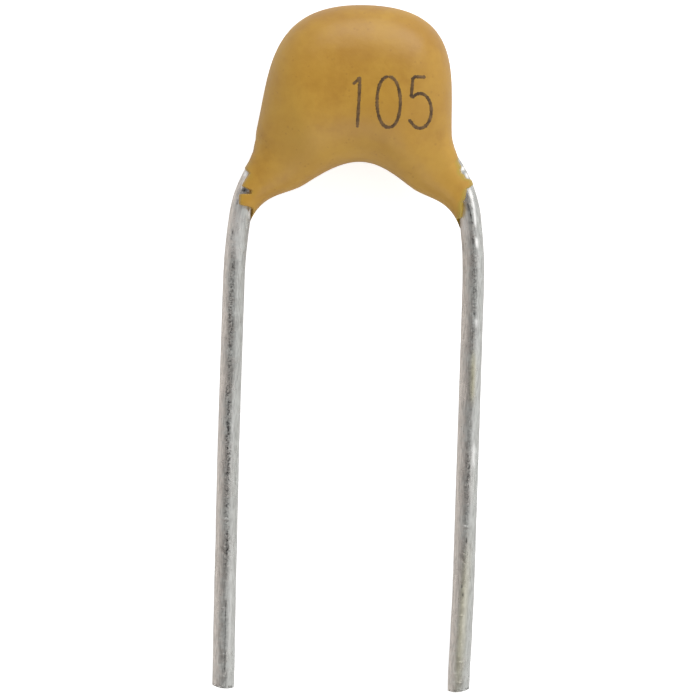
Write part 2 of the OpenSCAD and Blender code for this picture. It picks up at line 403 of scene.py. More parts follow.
class Tone(Enum):
    """What a mark on the tin does, with its column in the attribute "marks".

    The dark tone lays dark spots and streaks, and painted shade in a dent and in a hollow of the
    coat; the bright tone lays painted highlights and painted light; the olive tone a tarnish.
    """

    DARK = 0
    BRIGHT = 1
    OLIVE = 2


DARK, BRIGHT, OLIVE = Tone


@dataclass(frozen=True)
class Mark:
    """A mark on the front of a wire, long along it and narrow across.

    It is a dark spot or streak, painted shade in a dent or in a hollow of the coat, a painted
    highlight or a tarnish stain.
    """

    tone: Tone
    y: float
    reach: float
    long: float
    wide: float
    lean: float = 0.0
    strength: float = 1.0

    def mask(self, y: Array, reach: Array) -> Array:
        """Share of the mark at each point: its strength times exp(-u^4 - v^2) in its own lengths.

        Args:
            y: heights.
            reach: outward distances from the wire's centre-line.
        """
        off = reach - self.reach - self.lean * (y - self.y)
        return self.strength * np.exp(-(((y - self.y) / self.long) ** 4) - (off / self.wide) ** 2)


@dataclass(frozen=True)
class Lead:
    """One tinned wire as it is in use: it drifts a little, is worn, and is sheared at its tip.

    The wear is a band of fine pits along the front: stops of height and strength, and of
    height and outward reach. The sheared tip slopes by tip_cut, and the wire is shorter than its
    form by short.
    """

    form: LeadForm
    side: Side
    drift: tuple[Pair, ...]
    wear: tuple[Pair, ...]
    wear_reach: tuple[Pair, ...]
    marks: tuple[Mark, ...]
    tip_cut: float
    short: float
    wear_width: float = 0.055
    radius: float = 0.234
    around: int = 96
    straight_steps: int = 520
    tip_round: float = 0.07
    tip_steps: int = 9
    tip_run: float = 0.45
    slack: float = 0.002
    unevenness: float = 0.0035
    uneven_turn: float = 1.2
    uneven_wave: float = 0.9
    wander: float = 0.015
    wander_wave: float = 0.5

    def swept_path(self) -> tuple[Array, Array, Array]:
        """The centre-line with a tip that draws in on a quarter circle.

        Returns:
            Points, one x and y per row, the heading in degrees and the radius at each.
        """
        path, headings = self.form.centre_line(self.straight_steps)
        path[-1, 1] += self.tip_round
        bend = np.linspace(0.0, math.pi / 2, self.tip_steps)[1:]
        tip_y = self.tip_round * (1 - np.sin(bend)) - self.form.length
        tip = np.stack([np.full(len(bend), self.form.half_pitch), tip_y], -1)
        path = np.concatenate([path, tip])
        radius = np.full(len(path), self.radius)
        radius[-len(tip) :] -= self.tip_round * (1 - np.cos(bend))
        return path, np.concatenate([headings, np.zeros(len(tip))]), radius

    def build(self, seat: Seat) -> bpy.types.Object:
        """Sweeps the wire's ring along its centre-line and closes both ends.

        Ring point: p + r (cos t n + sin t z), with n square to the path in the drawing plane.
        r is the wire's radius, less a shallow unevenness that runs along the wire. Near the
        tip each point also slides up the wire, by what the wire is short, and by cut q^3 on
        the outer side, where q = (1 + cos t) / 2.

        Args:
            seat: carries the drawing into the row frame.

        Returns:
            The wire, with its straightened coordinates kept as the attribute "along", its
            band of pits as "wear" and its marks as "marks".
        """
        path, headings, radius = self.swept_path()
        travel = distance_along(path)[:, None]
        turn = np.linspace(0.0, 2 * math.pi, self.around, endpoint=False)[None, :]
        cos_t, sin_t = np.cos(turn), np.sin(turn)
        hollows = ripple(travel, self.uneven_turn * cos_t, self.uneven_wave, 3 + self.side.value)
        ring_r = radius[:, None] - self.slack - 0.5 * np.abs(self.unevenness * hollows)
        h = np.radians(headings)[:, None]
        across, front = ring_r * cos_t, ring_r * sin_t
        height = path[:, 1:] + 0 * across
        drift = eased_stops(self.drift, height)
        x = path[:, :1] - drift + across * np.cos(h)
        end = ease(-self.form.length + self.tip_run, -self.form.length, height)
        slide = end * (self.short + self.tip_cut * ((1 + cos_t) / 2) ** 3)
        y = height + across * np.sin(h) + slide
        rings = np.stack([self.side.value * x, y, front], -1)
        reach = across - drift
        fields = {
            "along": np.stack([self.side.value * across, front, travel + 0 * across], -1),
            "wear": self.worn(height, reach, front),
            "marks": self.marked(height, reach, front),
        }
        if self.side is Side.RIGHT:
            rings = rings[:, ::-1]
            fields = {name: values[:, ::-1] for name, values in fields.items()}
        piece = tube_piece(f"{self.side.word}_wire", [rings], seat)
        for name, values in fields.items():
            add_attribute(piece, name, values)
        return piece

    def worn(self, y: Array, reach: Array, front: Array) -> Array:
        """Strength of the pitting: a band that wanders down the front of the wire.

        Args:
            y: heights on the centre-line.
            reach: outward distances from it.
            front: heights off the drawing plane.
        """
        wander = self.wander * ripple(y, 0 * y, self.wander_wave, 5)
        off = reach - eased_stops(self.wear_reach, y) - wander
        band = np.exp(-((off / self.wear_width) ** 2))
        return eased_stops(self.wear, y) * band * (front > 0)

    def marked(self, y: Array, reach: Array, front: Array) -> Array:
        """The marks as one column for each tone.

        Args:
            y: heights on the centre-line.
            reach: outward distances from it.
            front: heights off the drawing plane.
        """
        tones = [
            sum((mark.mask(y, reach) for mark in self.marks if mark.tone is tone), 0 * y)
            for tone in Tone
        ]
        return np.clip(np.stack(tones, -1), 0.0, 1.0) * (front > 0)[..., None]


# ---------------------------------------------------------------- coat


@dataclass(frozen=True)
class Hem:
    """Where the coat's edge runs over one wire.

    Each stop is a height on the wire's centre-line and the coat's reach there, outwards from
    that line. The lowest stop is the height at which the web beside the wire runs out; above
    the highest the coat goes all the way round. Inside the edge the coat is thin over the fade,
    and the tint that shows this ends at the rim.
    """

    stops: tuple[Pair, ...]
    drift: tuple[Pair, ...]
    skin: tuple[Pair, ...]
    flank_y: float
    fade: float = 0.07
    sink: float = 0.02
    tuck: float = 0.2
    rim: float = 0.17
    tint: float = 1.0

    def trim(self, height: Array, reach: Array, z: Array, wire_r: float) -> tuple[Array, ...]:
        """Sinks into the wire what lies beyond the edge, and thins the coat towards it.

        With f the ease of the distance inside the edge over the fade, and w the height of the
        wire's surface less the sink, |z| becomes w + (|z| - w) f; beyond the edge the reach
        is held within the tuck.

        Args:
            height: height of each point's foot on the centre-line.
            reach: outward distance of each point from the centre-line.
            z: height of each point off the drawing plane.
            wire_r: the wire's radius.

        Returns:
            The new reach and z, and how thin the coat is, from 0 to 1 at its edge.
        """
        heights, reaches = zip(*self.stops)
        edge = np.interp(height, heights, reaches, right=1.0) + self.sink
        inside = ease(0.0, self.fade, edge - reach)
        drift = eased_stops(self.drift, height)
        wire = np.sqrt(np.clip(wire_r**2 - (reach + drift) ** 2, 0.0, None))
        floor = np.clip(wire - self.sink, 0.0, None)
        trimmed = np.sign(z) * (floor + (np.abs(z) - floor) * inside)
        over = np.abs(z) > floor
        beyond = reach > edge
        held = np.where(beyond, np.minimum(reach, self.tuck - drift), reach)
        rim = self.tint * (1 - ease(self.fade, self.rim, edge - reach))
        return held, np.where(over | beyond, trimmed, z), rim


@dataclass(frozen=True)
class CoatForm:
    """The dip coat: cross-sections that fan out from a hub between the legs, from hem to hem."""

    lead: LeadForm
    hems: dict[Side, Hem]
    crown_y: float = 4.5975
    arch_y: float = 1.296
    arch_shift: float = 0.08
    chip_rise: float = 1.95
    chip_mid_y: float = 2.95
    body_half_t: float = 1.3
    leg_half_t: float = 0.36
    leg_top_y: float = 0.4
    web_share: float = 0.3
    web_top_y: float = 0.35
    flank_foot: Pair = (2.12, 1.61)
    flank_angle: float = 11.6
    flank_handle: float = 1.28
    crown_handle_x: float = 2.28
    haunch: Pair = (1.18, 0.75)
    haunch_angle: float = 32.0
    haunch_handles: Pair = (0.43, 0.32)
    arch_handle: float = 0.49
    web_angle: float = 15.6
    web_handle: float = 0.81
    web_inset: float = 0.03
    hem_heading: float = 5.5
    hub_drop: float = 0.12
    lean: float = 4.0
    lean_rise: float = 0.1
    pillow: float = 2.5
    crowding: float = 0.4
    sections: int = 470
    around: int = 200
    skin_steps: int = 400
    flank_steps: int = 160
    web_steps: int = 120
    arch_steps: int = 80
    wire_steps: int = 60
    swell: float = 0.012
    swell_wave: float = 1.9
    least_width: float = 0.01
    wire_radius: float = 0.232
    trim_top_y: float = 1.5

    @property
    def hem_point(self) -> Array:
        """Point of the wire at which the web of coating runs out."""
        return self.lead.bend_point(self.hem_heading)

    @property
    def hub_y(self) -> float:
        """Height of the hub that the cross-sections fan out from."""
        return float(self.hem_point[1]) - self.hub_drop

    def outer_rail(self, side: Side) -> Array:
        """Outer edge of one half: a skin over the wire's outer side, then the flank's cubic.

        Args:
            side: which half; the rail is drawn as the right one.

        Returns:
            Points from the hem to the crown.
        """
        headings = np.linspace(0.0, self.lead.flare_angle, self.skin_steps)
        h = np.radians(headings)
        hem = self.hems[side]
        line = self.lead.bend_point(headings)
        reach = self.lead.diameter / 2 + eased_stops(hem.skin, line[:, 1:])
        leg = line + reach * np.stack([np.cos(h), np.sin(h)], -1)
        flank = math.radians(self.flank_angle)
        foot = np.array(self.flank_foot)
        handle = foot + self.flank_handle * np.array([-math.sin(flank), math.cos(flank)])
        crown = [(self.crown_handle_x, self.crown_y), (0.0, self.crown_y)]
        body = cubic([foot, handle, *crown], self.flank_steps)
        return np.concatenate([leg, body[body[:, 1] > hem.flank_y]])

    def inner_rail(self, side: Side) -> Array:
        """Inner edge of one half: two cubics, up the web to the haunch and on to the arch's top.

        Args:
            side: which half; the rail is drawn as the right one. The arch's top is shifted
                towards +x, and the haunches follow it half way.

        Returns:
            Points from the hem to the top of the arch.
        """
        slope, web = math.radians(self.haunch_angle), math.radians(self.web_angle)
        way = np.array([math.cos(slope), -math.sin(slope)])
        foot = self.hem_point + np.array([self.web_inset - self.lead.diameter / 2, 0.0])
        top_x = side.value * self.arch_shift
        haunch = np.array(self.haunch) + np.array([top_x / 2, 0.0])
        below, above = self.haunch_handles
        rise = self.web_handle * np.array([-math.sin(web), math.cos(web)])
        leg = cubic([foot, foot + rise, haunch + below * way, haunch], self.web_steps)
        crest = [(top_x + self.arch_handle, self.arch_y), (top_x, self.arch_y)]
        arch = cubic([haunch, haunch - above * way, *crest], self.arch_steps)
        return np.concatenate([leg, arch])

    def polar_table(self, rails: dict[Side, Array]) -> tuple[Array, Array]:
        """Both halves of a rail as bearing and radius about the hub.

        Args:
            rails: each half, drawn as the right one.

        Returns:
            Bearings in radians, ascending, and the radii there.
        """
        bearings, radii = [], []
        for side, rail in rails.items():
            from_hub = rail - np.array([0.0, self.hub_y])
            bearings.append(np.arctan2(from_hub[:, 1], side.value * from_hub[:, 0]))
            radii.append(np.hypot(*from_hub.T))
        bearing, radius = np.concatenate(bearings), np.concatenate(radii)
        order = np.argsort(bearing, kind="stable")
        return bearing[order], radius[order]

    @cached_property
    def inner_table(self) -> tuple[Array, Array]:
        """The inner rail about the hub."""
        return self.polar_table({side: self.inner_rail(side) for side in Side})

    @cached_property
    def outer_table(self) -> tuple[Array, Array]:
        """The outer rail about the hub."""
        return self.polar_table({side: self.outer_rail(side) for side in Side})

    @cached_property
    def wire_table(self) -> tuple[Array, Array]:
        """The wire's centre-line about the hub.

        Returns:
            Bearings, ascending, and for each a column of radius, height, and the parts of the
            section's direction that run square to the wire and up along its height.
        """
        path, headings = self.lead.centre_line(self.wire_steps)
        from_hub = path - np.array([0.0, self.hub_y])
        bearing = np.arctan2(from_hub[:, 1], from_hub[:, 0])
        h = np.radians(headings)
        square, climb = np.cos(bearing - h), np.sin(bearing - h) * np.cos(h)
        order = np.argsort(bearing, kind="stable")
        table = np.stack([np.hypot(*from_hub.T), path[:, 1], square, climb])
        return bearing[order], table[:, order]

    def radii(self, angle: Array) -> tuple[Array, Array]:
        """Inner and outer radius about the hub.

        Args:
            angle: radians from +x, in any shape.

        Returns:
            The two radii, in the angle's shape; the outer is never within the inner.
        """
        inner = np.interp(angle, *self.inner_table)
        outer = np.interp(angle, *self.outer_table)
        return inner, np.maximum(outer, inner + self.least_width)

    def first_angle(self, side: Side) -> float:
        """Bearing of one hem's section, measured up from the horizontal on its own side."""
        sine = (self.hems[side].stops[0][0] - self.lead.spring_foot_y) / self.lead.spring_r
        foot = self.lead.bend_point(math.degrees(math.asin(sine)))
        return math.atan2(foot[1] - self.hub_y, foot[0] - self.lead.diameter / 2)

    def half_thickness(self, mid_y: Array) -> Array:
        """Half thickness of the section whose middle lies at that height.

        It grows by one smooth step from the web to the leg, and by another to the body.
        """
        web = self.web_share + (1 - self.web_share) * ease(self.hem_point[1], self.web_top_y, mid_y)
        step = ease(self.leg_top_y, self.chip_mid_y, mid_y)
        return self.leg_half_t * web + (self.body_half_t - self.leg_half_t) * step

    def lean_shift(self, y: Array) -> Array:
        """Sideways shift at height y: the body is sheared over its legs."""
        slope = math.tan(math.radians(self.lean))
        middle = self.chip_mid_y + self.lean_rise
        return slope * (y - middle) * ease(self.arch_y, self.chip_rise, y)

    def surface(self) -> tuple[Array, Array]:
        """The whole skin as a grid of sections by points round each section.

        A section at bearing a is the superellipse r = r_in + w (1 + cos^(2/p) s),
        z = t sin^(2/p) s, where w is half the distance between the rails, t the half
        thickness there and p the pillow. Sections crowd together towards both hems.

        Returns:
            Places in millimetres, as sections x points x 3, and how thin the coat is there.
        """
        u = np.linspace(1.0, -1.0, self.sections)
        crowded = (1 + self.crowding) * u - self.crowding * u**3
        first = np.where(u > 0, self.first_angle(Side.LEFT), self.first_angle(Side.RIGHT))
        angle = math.pi / 2 + (math.pi / 2 - first) * crowded
        r_in, r_out = self.radii(angle)
        half_w = (r_out - r_in) / 2
        half_t = self.half_thickness(self.hub_y + (r_in + half_w) * np.sin(angle))
        s = np.linspace(0.0, 2 * math.pi, self.around, endpoint=False)[None, :]
        r = r_in[:, None] + half_w[:, None] * (1 + signed_power(np.cos(s), 2 / self.pillow))
        x = r * np.cos(angle)[:, None]
        y = self.hub_y + r * np.sin(angle)[:, None]
        z = half_t[:, None] * signed_power(np.sin(s), 2 / self.pillow) * self.evenness(x, y)
        r, z, thin = self.trim(angle[:, None], r, z)
        x = r * np.cos(angle)[:, None]
        y = self.hub_y + r * np.sin(angle)[:, None]
        return np.stack([x + self.lean_shift(y), y, z], -1), thin

    def trim(self, angle: Array, r: Array, z: Array) -> tuple[Array, Array, Array]:
        """Cuts the legs of the coat off along their hems.

        Args:
            angle: bearing of each section.
            r: distance of each point from the hub.
            z: height of each point.

        Returns:
            The new r and z, and how thin the coat is.
        """
        folded = np.minimum(angle, math.pi - angle)
        bearing, table = self.wire_table
        wire_r, wire_y, square, climb = (np.interp(folded, bearing, row) for row in table)
        thin = 0 * z
        for side, hem in self.hems.items():
            foot_y = wire_y + (r - wire_r) * climb
            held, trimmed, rim = hem.trim(foot_y, (r - wire_r) * square, z, self.wire_radius)
            on = (wire_y < self.trim_top_y) & (side.value * np.cos(angle) > 0)
            r = np.where(on, wire_r + held / square, r)
            z = np.where(on, trimmed, z)
            thin = np.where(on, rim, thin)
        return r, z, thin

    def evenness(self, x: Array, y: Array) -> Array:
        """Factor on the thickness: the coat sags into broad, shallow hollows as it cures."""
        return 1 - self.swell * (1 + ripple(x, y, self.swell_wave, 2)) / 2

    def front(self, x: Array, y: Array) -> Array:
        """Height of the front face over points of the drawing plane.

        It turns the section's formula round: with q the share of the half width,
        z = t (1 - |q|^p)^(1/p).

        Args:
            x: places across.
            y: heights.

        Returns:
            z of the coat's front, in millimetres.
        """
        upright = x - self.lean_shift(y)
        angle = np.arctan2(y - self.hub_y, upright)
        r_in, r_out = self.radii(angle)
        half_w = (r_out - r_in) / 2
        q = (np.hypot(upright, y - self.hub_y) - r_in) / half_w - 1
        half_t = self.half_thickness(self.hub_y + (r_in + half_w) * np.sin(angle))
        bulge = np.clip(1 - np.abs(q) ** self.pillow, 0.0, 1.0) ** (1 / self.pillow)
        return half_t * bulge * self.evenness(upright, y)


@dataclass(frozen=True)
class Coat:
    """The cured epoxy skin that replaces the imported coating."""

    form: CoatForm

    def build(self, seat: Seat) -> bpy.types.Object:
        """Lofts the skin, and marks where it runs out thin at its hems.

        Args:
            seat: carries the drawing into the row frame.

        Returns:
            The coat, with the attribute "thin": 1 at the hems and 0 on the body.
        """
        points, thin = self.form.surface()
        piece = tube_piece("coat_skin", [points], seat)
        add_attribute(piece, "thin", thin)
        return piece


# ---------------------------------------------------------------- value code


@dataclass(frozen=True)
class ValueCode:
    """The part's value, as three plain digits burnt into the front of the coat.

    The code is two figures and the number of noughts that follow them, in picofarads.
    """

    coat: CoatForm
    picofarads: int = 1_000_000
    left_x: float = -0.142
    base_y: float = 1.94
    stroke: float = 0.066
    film: float = 0.005
    lift: float = 0.002
    waver: float = 0.16
    waver_wave: float = 0.05
    rings_per_mm: int = 150
    fewest_rings: int = 12
    least_end: float = 0.02
    loop_steps: int = 73
    bowl_steps: int = 49
    rows: tuple[float, ...] = (-1.0, -0.7, -0.25, 0.25, 0.7, 1.0)

    @property
    def digits(self) -> str:
        """The three digits of the value."""
        figures = str(self.picofarads)
        return f"{figures[:2]}{len(figures) - 2}"

    def strokes(self, digit: str) -> tuple[list[Array], float]:
        """Centre-lines of one digit, in millimetres from its cell's lower left corner.

        Args:
            digit: one of 0, 1 and 5.

        Returns:
            Paths of x and y, and the distance to the next cell.
        """
        if digit == "1":
            flag = np.array([(0.0, 0.862), (0.07, 0.915), (0.152, 1.018)])
            stem = np.array([(0.146, 1.018), (0.142, 0.6), (0.124, -0.024)])
            return [flag, stem], 0.515
        if digit == "0":
            t = np.linspace(0.5 * math.pi, 2.5 * math.pi, self.loop_steps)
            y = 0.521 + 0.518 * np.sin(t)
            x = 0.242 * (1 + signed_power(np.cos(t), 0.88)) - 0.032 * (y - 0.521)
            return [np.stack([x, y], -1)], 0.664
        bar = np.array([(0.336, 1.068), (0.067, 1.059)])
        back = np.array([(0.067, 1.059), (0.042, 0.623)])
        t = np.radians(np.linspace(122, -138, self.bowl_steps))
        bowl = np.stack([0.237 + 0.24 * np.cos(t), 0.371 + 0.353 * np.sin(t)], -1)
        return [bar, back, np.concatenate([[(0.042, 0.623)], bowl, [(0.0, 0.178)]])], 0.6

    def build(self, seat: Seat) -> list[bpy.types.Object]:
        """Lays a thin ribbon along every stroke and drapes it over the coat.

        Args:
            seat: carries the drawing into the row frame.

        Returns:
            One piece per digit.
        """
        pieces = []
        x = self.left_x
        for place, digit in enumerate(self.digits):
            paths, advance = self.strokes(digit)
            ribbons = [self.ribbon(path, x, place) for path in paths]
            pieces.append(tube_piece(f"digit_{place + 1}", ribbons, seat))
            x += advance
        return pieces

    def ribbon(self, path: Array, x: float, seed: int) -> Array:
        """One stroke as closed rings: a low mound across it, and a width that wavers along it.

        Args:
            path: centre-line in the digit's cell, in millimetres.
            x: left edge of the cell.
            seed: varies the waver.

        Returns:
            Places in millimetres, as rings x points x 3.
        """
        steps = distance_along(path)
        rings = max(self.fewest_rings, int(steps[-1] * self.rings_per_mm))
        travel = np.linspace(0.0, steps[-1], rings)
        line = np.stack([np.interp(travel, steps, path[:, i]) for i in (0, 1)], -1)
        way = np.gradient(line, axis=0)
        way /= np.linalg.norm(way, axis=1, keepdims=True)
        side = np.stack([-way[:, 1], way[:, 0]], -1)
        waver = self.waver * ripple(travel, 0 * travel, self.waver_wave, seed)
        from_end = np.minimum(travel, travel[-1] - travel) / self.stroke * 2
        ends = np.sqrt(np.clip(from_end, self.least_end, 1.0))
        half = self.stroke / 2 * (1 + waver) * ends
        share = np.array(self.rows)
        flat = line[:, None, :] + side[:, None, :] * (half[:, None] * share)[..., None]
        u = flat[..., 0] + x
        v = flat[..., 1] + self.base_y
        skin = self.coat.front(u, v)
        top = skin + self.lift + self.film * (1 - share[None, :] ** 2)
        under = skin - self.film
        upper = np.stack([u, v, top], -1)
        lower = np.stack([u, v, under], -1)[:, ::-1]
        return np.concatenate([lower, upper], axis=1)


# ---------------------------------------------------------------- node graphs


class Graph:
    """A node tree with short ways to add and join nodes."""

    def __init__(self, tree: bpy.types.NodeTree) -> None:
        """Starts on an empty tree.

        Args:
            tree: the node tree; what it holds is removed.
        """
        self.tree = tree
        tree.nodes.clear()

    def add(
        self, kind: str, settings: dict[str, Any] | None = None, **inputs: Any
    ) -> bpy.types.Node:
        """Adds a node.

        Args:
            kind: Blender's name for the node type.
            settings: properties of the node, by name.
            inputs: a value or another node's socket for each input, by name with _ for spaces.

        Returns:
            The node.
        """
        node = self.tree.nodes.new(kind)
        for name, value in (settings or {}).items():
            setattr(node, name, value)
        for name, value in inputs.items():
            self.feed(node.inputs[name.replace("_", " ")], value)
        return node

    def feed(self, socket: Socket, value: Any) -> None:
        """Sets an input socket, or links it where value is another node's output."""
        if isinstance(value, Socket):
            self.tree.links.new(value, socket)
        else:
            socket.default_value = value

    def math(self, operation: str, first: Any, second: Any = 0.0) -> Socket:
        """One operation on one or two values."""
        node = self.add("ShaderNodeMath", {"operation": operation})
        self.feed(node.inputs[0], first)
        self.feed(node.inputs[1], second)
        return node.outputs[0]

    def line(self, value: Any, slope: Any, base: Any) -> Socket:
        """A straight line: slope times value, plus base."""
        return self.math("ADD", self.math("MULTIPLY", value, slope), base)

    def rest(self, share: Any) -> Socket:
        """What a share leaves of 1."""
        return self.math("SUBTRACT", 1.0, share)

    def blend(self, share: Any, first: Any, second: Any) -> Socket:
        """Mixes two colours by a share from 0 to 1."""
        node = self.add("ShaderNodeMix", {"data_type": "RGBA"}, Factor=share)
        for socket, value in ((node.inputs[6], first), (node.inputs[7], second)):
            self.feed(socket, (*value, 1.0) if isinstance(value, tuple) else value)
        return node.outputs[2]

    def wash(self, colour: Any, tint: Colour, mask: Any, share: float) -> Socket:
        """Lays a tint over a colour by that share of a mask."""
        return self.blend(self.math("MULTIPLY", mask, share), colour, tint)

    def step(self, value: Any, low: float, high: float) -> Socket:
        """Smooth step of a value from 0 at low to 1 at high."""
        node = self.add("ShaderNodeMapRange", {"interpolation_type": "SMOOTHSTEP"}, Value=value)
        node.inputs["From Min"].default_value = low
        node.inputs["From Max"].default_value = high
        return node.outputs["Result"]

    def noise(self, vector: Any, scale: Any, detail: float, rough: float = 0.5) -> Socket:
        """Fractal noise around 0.5."""
        inputs = {"Vector": vector, "Scale": scale, "Detail": detail, "Roughness": rough}
        return self.add("ShaderNodeTexNoise", **inputs).outputs["Fac"]

    def parts(self, vector: Any) -> Any:
        """The three numbers of a vector, by name."""
        return self.add("ShaderNodeSeparateXYZ", Vector=vector).outputs

    def join(self, kind: str, first: bpy.types.Node, second: bpy.types.Node) -> bpy.types.Node:
        """Adds or mixes two shaders: they go to the node's last two inputs."""
        node = self.add(kind)
        self.feed(node.inputs[-2], first.outputs[0])
        self.feed(node.inputs[-1], second.outputs[0])
        return node

    def show(self, kind: str, shader: bpy.types.Node) -> None:
        """Sends a shader to an output node of that kind."""
        self.add(kind, Surface=shader.outputs[0])


def group(name: str, output: str, **inputs: float) -> tuple[Graph, Any, Socket]:
    """Starts a shader node group that turns a vector and some numbers into one number.

    Args:
        name: the group's name.
        output: name of the number it gives.
        inputs: name and default of each number it reads.

    Returns:
        The group's graph, the sockets that it reads from and the one that its result goes to.
    """
    tree = bpy.data.node_groups.new(name, "ShaderNodeTree")
    tree.interface.new_socket("Vector", in_out="INPUT", socket_type="NodeSocketVector")
    for label, default in inputs.items():
        socket = tree.interface.new_socket(label, in_out="INPUT", socket_type="NodeSocketFloat")
        socket.default_value = default
    tree.interface.new_socket(output, in_out="OUTPUT", socket_type="NodeSocketFloat")
    graph = Graph(tree)
    return graph, graph.add("NodeGroupInput").outputs, graph.add("NodeGroupOutput").inputs[output]


class Effects:
    """Node groups that several finishes share.

    Fine patches are FINER than broad ones. A pit fades out over PIT_STEP of its cell, and is
    kept where a noise KEEP_SLOWER in scale is over KEEP_LIMIT less half the share.
    """

    FINER: float = 7.3
    PATCH_STEP: Pair = (0.3, 0.7)
    PIT_STEP: Pair = (0.12, 0.34)
    KEEP_SLOWER: float = 0.31
    KEEP_LIMIT: float = 0.78

    def __init__(self) -> None:
        """Builds every group once."""
        self.mottle = self.build_mottle()
        self.pits = self.build_pits()
        self.drawn = self.build_drawn()

    def build_mottle(self) -> bpy.types.NodeTree:
        """Soft patches: two scales of noise added, then stretched to fill 0 to 1."""
        graph, into, out = group("mottle", "Patches", Scale=1000.0, Fine=0.35)
        broad = graph.noise(into["Vector"], into["Scale"], 2.0)
        fine_scale = graph.math("MULTIPLY", into["Scale"], self.FINER)
        fine = graph.noise(into["Vector"], fine_scale, 4.0, 0.6)
        total = graph.line(graph.math("SUBTRACT", fine, 0.5), into["Fine"], broad)
        graph.feed(out, graph.step(total, *self.PATCH_STEP))
        return graph.tree

    def build_pits(self) -> bpy.types.NodeTree:
        """Small pits: the inner part of random cells, kept where a slower noise is high."""
        graph, into, out = group("pits", "Mask", Scale=8000.0, Share=0.3)
        where, scale = into["Vector"], into["Scale"]
        cells = graph.add("ShaderNodeTexVoronoi", {"feature": "F1"}, Vector=where, Scale=scale)
        keep = graph.noise(where, graph.math("MULTIPLY", scale, self.KEEP_SLOWER), 1.0)
        near = graph.rest(graph.step(cells.outputs["Distance"], *self.PIT_STEP))
        eased = graph.math("MULTIPLY", into["Share"], 0.5)
        limit = graph.math("SUBTRACT", self.KEEP_LIMIT, eased)
        kept = graph.math("GREATER_THAN", keep, limit)
        graph.feed(out, graph.math("MULTIPLY", near, kept))
        return graph.tree

    @staticmethod
    def build_drawn() -> bpy.types.NodeTree:
        """Streaks along a drawn wire: noise on coordinates squeezed along the third axis."""
        graph, into, out = group("drawn", "Streaks", Scale=20.0, Stretch=0.06)
        at = graph.parts(into["Vector"])
        along = graph.math("MULTIPLY", at["Z"], into["Stretch"])
        squeezed = graph.add("ShaderNodeCombineXYZ", X=at["X"], Y=at["Y"], Z=along)
        graph.feed(out, graph.noise(squeezed.outputs["Vector"], into["Scale"], 4.0, 0.6))
        return graph.tree


class Finish:
    """A material that starts from a Principled surface and a place to read patterns at."""

    def __init__(self, name: str, effects: Effects, along: str | None = None) -> None:
        """Makes the bare material.

        Args:
            name: the material's name.
            effects: the shared groups.
            along: attribute that holds the place; the object's own coordinates without one.
        """
        self.effects = effects
        self.material = bpy.data.materials.new(name)
        self.material.use_nodes = True
        self.graph = Graph(self.material.node_tree)
        self.surface = self.graph.add("ShaderNodeBsdfPrincipled")
        self.graph.show("ShaderNodeOutputMaterial", self.surface)
        if along:
            self.here = self.attribute(along, "Vector")
        else:
            self.here = self.graph.add("ShaderNodeTexCoord").outputs["Object"]

    def attribute(self, name: str, output: str = "Fac") -> Socket:
        """Reads a vertex attribute of the piece."""
        return self.graph.add("ShaderNodeAttribute", {"attribute_name": name}).outputs[output]

    def effect(self, tree: bpy.types.NodeTree, **inputs: float) -> Socket:
        """Places one of the shared groups and gives back its output."""
        kind = "ShaderNodeGroup"
        return self.graph.add(kind, {"node_tree": tree}, Vector=self.here, **inputs).outputs[0]

    def mottle(self, scale: float, fine: float) -> Socket:
        """Soft patches of that scale, with that share of fine ones."""
        return self.effect(self.effects.mottle, Scale=scale, Fine=fine)

    def pits(self, scale: float, share: float) -> Socket:
        """Mask of small pits of that scale; more of them with a larger share."""
        return self.effect(self.effects.pits, Scale=scale, Share=share)

    def noise(self, scale: float, detail: float, rough: float) -> Socket:
        """Fractal noise around 0.5."""
        return self.graph.noise(self.here, scale, detail, rough)

    def bump(self, height: Any, distance: float, under: Any = None) -> Socket:
        """Turns heights from 0 to 1 into a normal.

        Args:
            height: the heights.
            distance: what 1 stands for, in metres.
            under: normal of a coarser bump that this one rides on.

        Returns:
            The normal.
        """
        node = self.graph.add("ShaderNodeBump", Height=height, Distance=distance)
        if under is not None:
            self.graph.feed(node.inputs["Normal"], under)
        return node.outputs["Normal"]

    def set(self, **inputs: Any) -> bpy.types.Material:
        """Sets or links inputs of the surface, by name with _ for spaces; gives the material."""
        for name, value in inputs.items():
            self.graph.feed(self.surface.inputs[name.replace("_", " ")], value)
        return self.material


@dataclass(frozen=True)
class EpoxyFinish:
    """Ochre dipped epoxy: satin, cloudy, finely specked, with a faint orange peel and a pale rim.

    Patterns are scale and fineness, or scale, detail and roughness; depths are in metres.
    """

    name: str = "ochre_epoxy"
    ochre: Colour = (0.460, 0.240, 0.026)
    golden: Colour = (0.520, 0.290, 0.038)
    brown: Colour = (0.400, 0.198, 0.024)
    speck: Colour = (0.290, 0.125, 0.015)
    rim: Colour = (0.400, 0.290, 0.040)
    stain_share: float = 0.55
    speck_share: float = 0.28
    rim_share: float = 0.75
    clouds: Pair = (420.0, 0.5)
    stains: Pair = (950.0, 0.4)
    specks: Pair = (9000.0, 0.35)
    peel: Triple = (2600.0, 3.0, 0.5)
    grain: Triple = (16000.0, 2.0, 0.6)
    peel_depth: float = 0.000010
    grain_depth: float = 0.0000016
    roughness: float = 0.38
    rougher: float = 0.08

    def make(self, effects: Effects) -> bpy.types.Material:
        """Builds the material from the shared groups."""
        finish = Finish(self.name, effects)
        graph = finish.graph
        clouds = finish.mottle(*self.clouds)
        colour = graph.blend(clouds, self.brown, self.golden)
        colour = graph.wash(colour, self.ochre, finish.mottle(*self.stains), self.stain_share)
        colour = graph.wash(colour, self.speck, finish.pits(*self.specks), self.speck_share)
        colour = graph.wash(colour, self.rim, finish.attribute("thin"), self.rim_share)
        peel = finish.bump(finish.noise(*self.peel), self.peel_depth)
        normal = finish.bump(finish.noise(*self.grain), self.grain_depth, under=peel)
        rough = graph.line(clouds, self.rougher, self.roughness)
        return finish.set(Base_Color=colour, Roughness=rough, Normal=normal)


